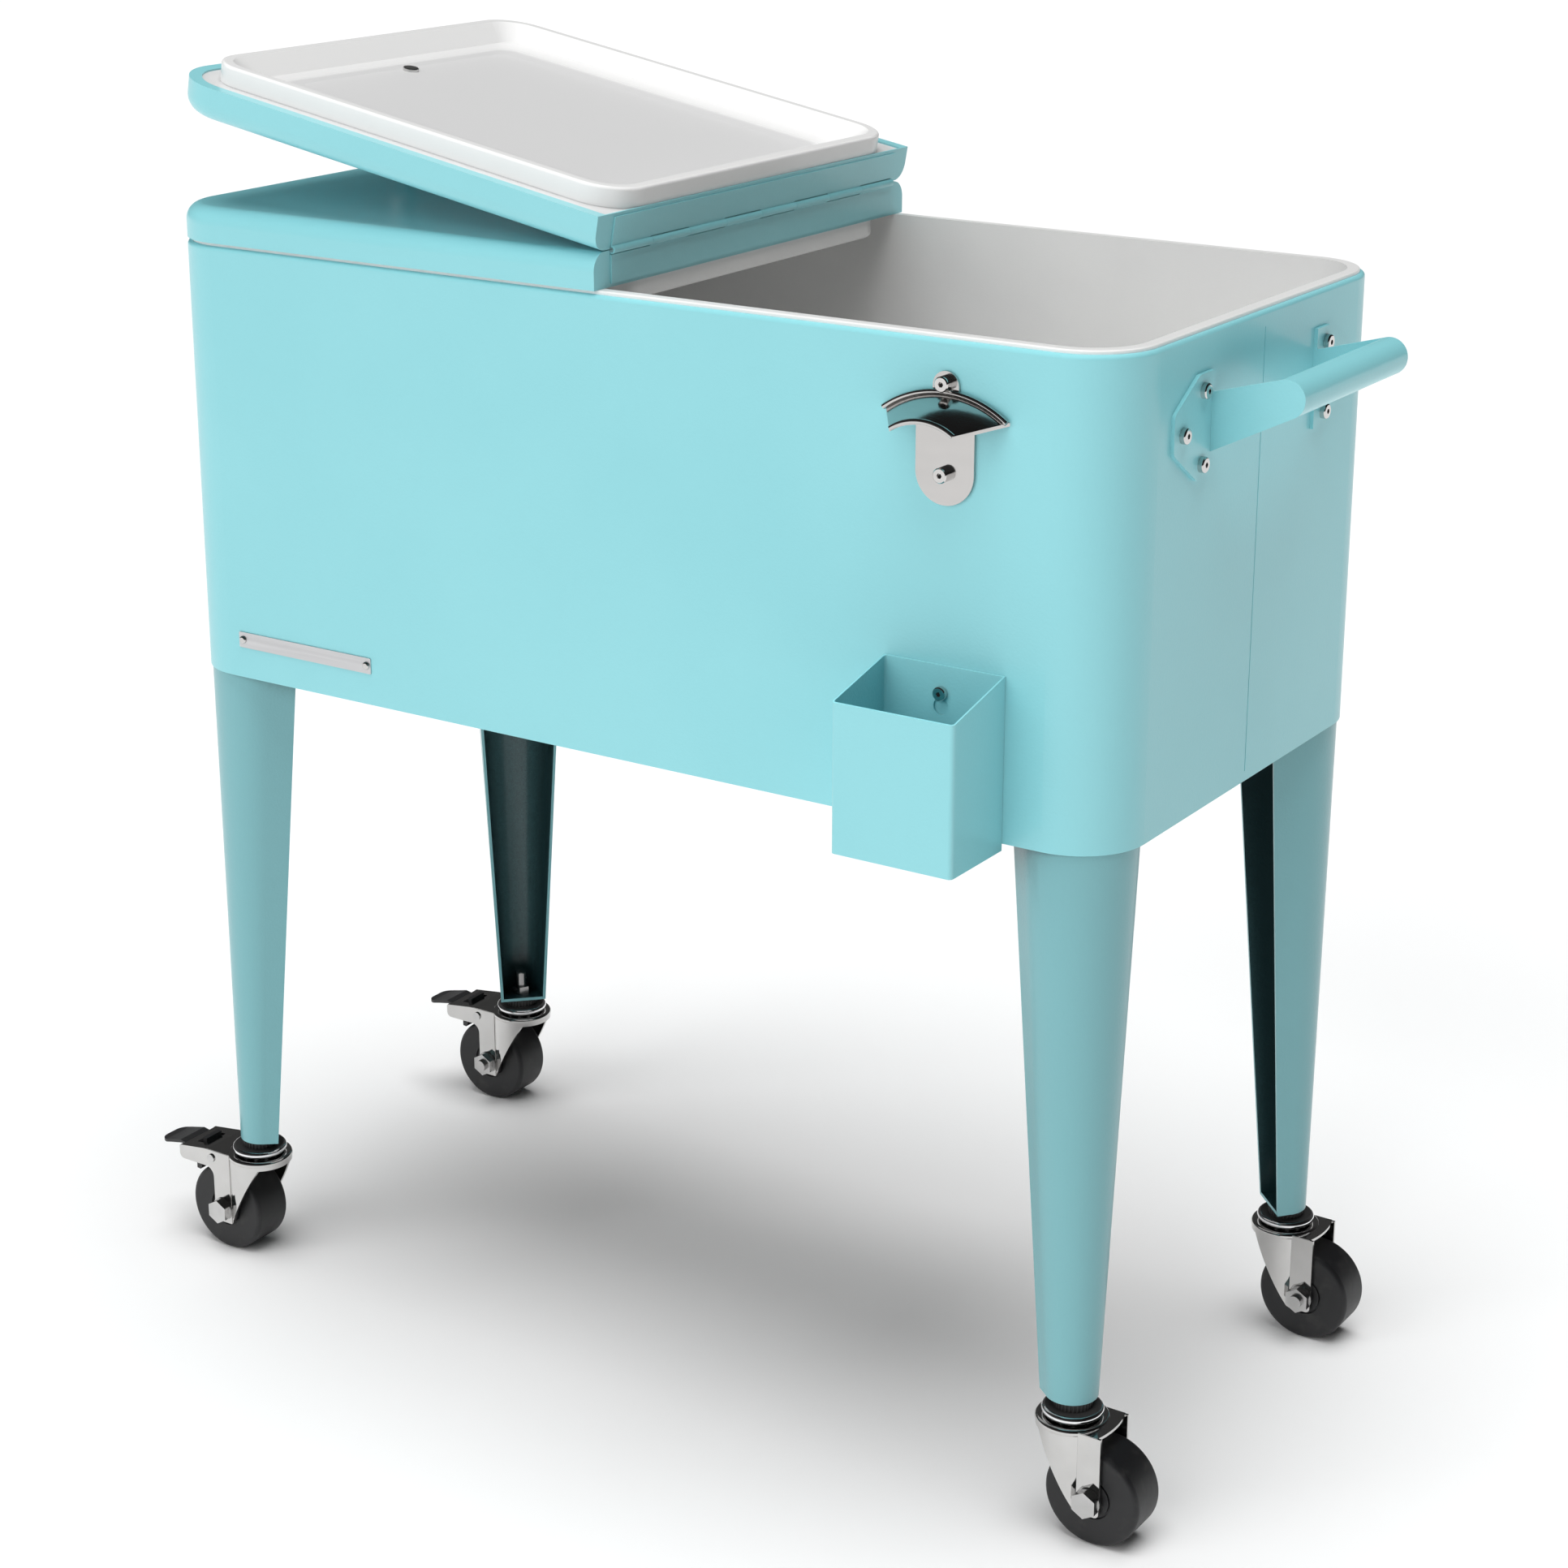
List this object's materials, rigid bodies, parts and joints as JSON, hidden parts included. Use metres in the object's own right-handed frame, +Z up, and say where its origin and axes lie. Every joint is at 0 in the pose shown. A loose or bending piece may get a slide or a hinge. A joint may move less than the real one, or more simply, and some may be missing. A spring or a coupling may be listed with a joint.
{
  "type": "rolling patio cooler chest",
  "caption": "Insulated steel drinks cooler on four tapered legs with swivel casters, two hinged lids, a push handle, a wall bottle opener and a cap catcher.",
  "frame": {"origin": "on the ground, in the middle of the whole cart's box", "axes": "+Z up, +X along the cart towards the push handle, +Y to the back"},
  "size_m": [0.915, 0.4558, 0.9388],
  "materials": {
    "aqua_enamel": "smooth glossy powder coat",
    "white_plastic": "smooth moulded plastic",
    "grey_plastic": "moulded plastic",
    "foam": "rigid foam",
    "zinc_steel": "zinc plated",
    "zinc_plate": "bright plated",
    "polished_steel": "polished",
    "brushed_plate": "brushed",
    "black_tyre": "satin",
    "black_plastic": "satin"
  },
  "bodies": {
    "cart": {"body_foam": "foam", "bottle_opener": "polished_steel", "bottom_pan": "zinc_steel", "caster_back_left_cap": "zinc_plate", "caster_back_left_stem": "zinc_steel", "caster_back_right_cap": "zinc_plate", "caster_back_right_stem": "zinc_steel", "caster_balls": "zinc_steel", "caster_front_left_cap": "zinc_plate", "caster_front_left_stem": "zinc_steel", "caster_front_right_cap": "zinc_plate", "caster_front_right_stem": "zinc_steel", "catcher_screw": "polished_steel", "drain_fitting": "grey_plastic", "drain_nut": "grey_plastic", "handle_back_arm": "aqua_enamel", "handle_front_arm": "aqua_enamel", "handle_screws": "polished_steel", "handle_tube": "aqua_enamel", "leg_back_left": "aqua_enamel", "leg_back_right": "aqua_enamel", "leg_front_left": "aqua_enamel", "leg_front_right": "aqua_enamel", "leg_screws": "zinc_steel", "nameplate": "brushed_plate", "nameplate_rivets": "polished_steel", "opener_screws": "polished_steel", "outer_shell": "aqua_enamel", "tub_liner": "white_plastic"},
    "drain_cap": {"drain_cap": "grey_plastic"},
    "cap_catcher": {"cap_catcher": "aqua_enamel"},
    "lid_left": {"lid_left_skin": "aqua_enamel", "lid_left_foam": "foam", "lid_left_liner": "white_plastic", "lid_left_knob": "polished_steel", "lid_left_screw": "zinc_steel", "hinge_leaf_left": "aqua_enamel", "hinge_pin": "zinc_steel"},
    "lid_right": {"lid_right_skin": "aqua_enamel", "lid_right_foam": "foam", "lid_right_liner": "white_plastic", "lid_right_knob": "polished_steel", "lid_right_screw": "zinc_steel", "hinge_leaf_right": "aqua_enamel"},
    "swivel_front_left": {"caster_front_left_fork": "zinc_plate", "caster_front_left_axle": "zinc_steel", "caster_front_left_brake_pin": "zinc_steel"},
    "wheel_front_left": {"caster_front_left_wheel": "black_tyre"},
    "brake_front_left": {"caster_front_left_brake_pedal": "black_plastic"},
    "swivel_front_right": {"caster_front_right_fork": "zinc_plate", "caster_front_right_axle": "zinc_steel"},
    "wheel_front_right": {"caster_front_right_wheel": "black_tyre"},
    "swivel_back_left": {"caster_back_left_fork": "zinc_plate", "caster_back_left_axle": "zinc_steel", "caster_back_left_brake_pin": "zinc_steel"},
    "wheel_back_left": {"caster_back_left_wheel": "black_tyre"},
    "brake_back_left": {"caster_back_left_brake_pedal": "black_plastic"},
    "swivel_back_right": {"caster_back_right_fork": "zinc_plate", "caster_back_right_axle": "zinc_steel"},
    "wheel_back_right": {"caster_back_right_wheel": "black_tyre"}
  },
  "joints": [
    {"name": "lid_left_lift", "type": "slide", "parent": "cart", "child": "lid_left", "axis": [0, 0, 1], "range_m": [0, 0.12]},
    {"name": "lid_right_hinge", "type": "hinge", "parent": "lid_left", "child": "lid_right", "pos_m": [0.00205, 0.03115, 0.8368], "axis": [0, 1, 0], "range_deg": [0, 169.8]},
    {"name": "catcher_lift", "type": "slide", "parent": "cart", "child": "cap_catcher", "axis": [0, 0, 1], "range_m": [0, 0.0085]},
    {"name": "drain_cap_turn", "type": "hinge", "parent": "cart", "child": "drain_cap", "pos_m": [-0.28795, 0.09115, 0.475], "axis": [0, 0, 1], "range_deg": [0, 360]},
    {"name": "swivel_front_left_turn", "type": "hinge", "parent": "cart", "child": "swivel_front_left", "pos_m": [-0.36195, -0.13785, 0.08], "axis": [0, 0, 1], "continuous": true},
    {"name": "wheel_front_left_spin", "type": "hinge", "parent": "swivel_front_left", "child": "wheel_front_left", "pos_m": [-0.38595, -0.13785, 0.0352], "axis": [0, 1, 0], "continuous": true},
    {"name": "brake_front_left_press", "type": "hinge", "parent": "swivel_front_left", "child": "brake_front_left", "pos_m": [-0.39575, -0.13785, 0.077], "axis": [0, -1, 0], "range_deg": [0, 4]},
    {"name": "swivel_front_right_turn", "type": "hinge", "parent": "cart", "child": "swivel_front_right", "pos_m": [0.36605, -0.13785, 0.08], "axis": [0, 0, 1], "continuous": true},
    {"name": "wheel_front_right_spin", "type": "hinge", "parent": "swivel_front_right", "child": "wheel_front_right", "pos_m": [0.39005, -0.13785, 0.0352], "axis": [0, 1, 0], "continuous": true},
    {"name": "swivel_back_left_turn", "type": "hinge", "parent": "cart", "child": "swivel_back_left", "pos_m": [-0.36195, 0.20015, 0.08], "axis": [0, 0, 1], "continuous": true},
    {"name": "wheel_back_left_spin", "type": "hinge", "parent": "swivel_back_left", "child": "wheel_back_left", "pos_m": [-0.38595, 0.20015, 0.0352], "axis": [0, 1, 0], "continuous": true},
    {"name": "brake_back_left_press", "type": "hinge", "parent": "swivel_back_left", "child": "brake_back_left", "pos_m": [-0.39575, 0.20015, 0.077], "axis": [0, -1, 0], "range_deg": [0, 4]},
    {"name": "swivel_back_right_turn", "type": "hinge", "parent": "cart", "child": "swivel_back_right", "pos_m": [0.36605, 0.20015, 0.08], "axis": [0, 0, 1], "continuous": true},
    {"name": "wheel_back_right_spin", "type": "hinge", "parent": "swivel_back_right", "child": "wheel_back_right", "pos_m": [0.39005, 0.20015, 0.0352], "axis": [0, 1, 0], "continuous": true}
  ]
}
